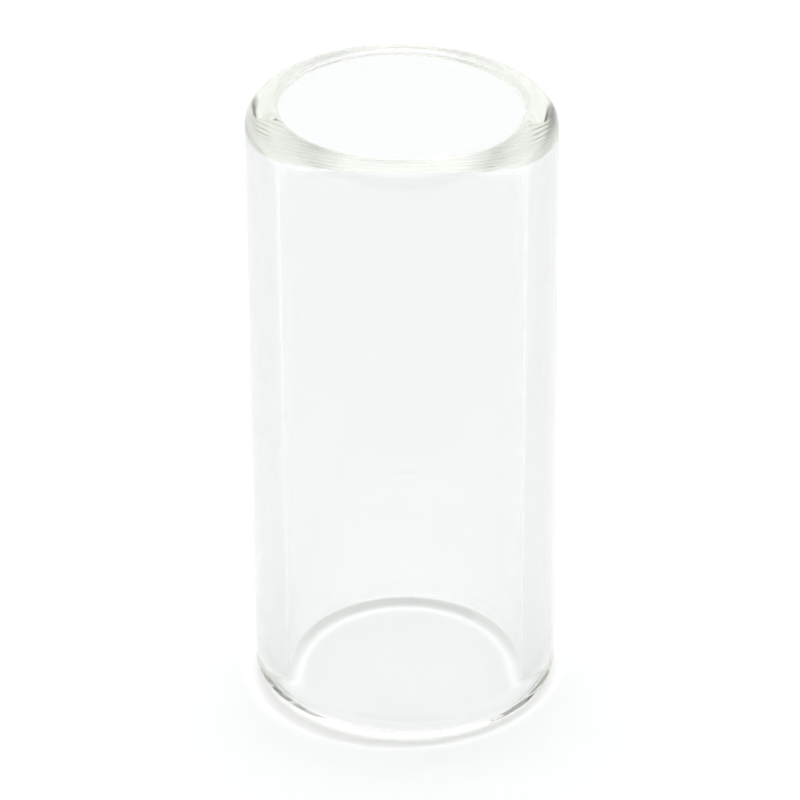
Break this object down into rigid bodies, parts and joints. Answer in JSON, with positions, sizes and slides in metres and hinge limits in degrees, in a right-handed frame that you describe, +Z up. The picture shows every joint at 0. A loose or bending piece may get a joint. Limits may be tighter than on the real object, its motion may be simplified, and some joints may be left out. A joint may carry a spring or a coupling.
{
  "type": "guitar slide",
  "caption": "Clear glass guitar slide: a straight thick-walled tube, open at both ends, with melt-rounded rims, worn on a finger and run along the strings.",
  "frame": {"origin": "on the tube's axis, at the plane of the rim it stands on", "axes": "+Z up along the tube's axis, from the lower rim to the upper one; X and Y are any two directions across it, because the tube is round"},
  "size_m": [0.028, 0.028, 0.0595],
  "materials": {
    "clear_glass": "clear, fire-polished, faint green in the thick rims"
  },
  "bodies": {
    "root": {"glass_tube": "clear_glass"}
  },
  "joints": []
}
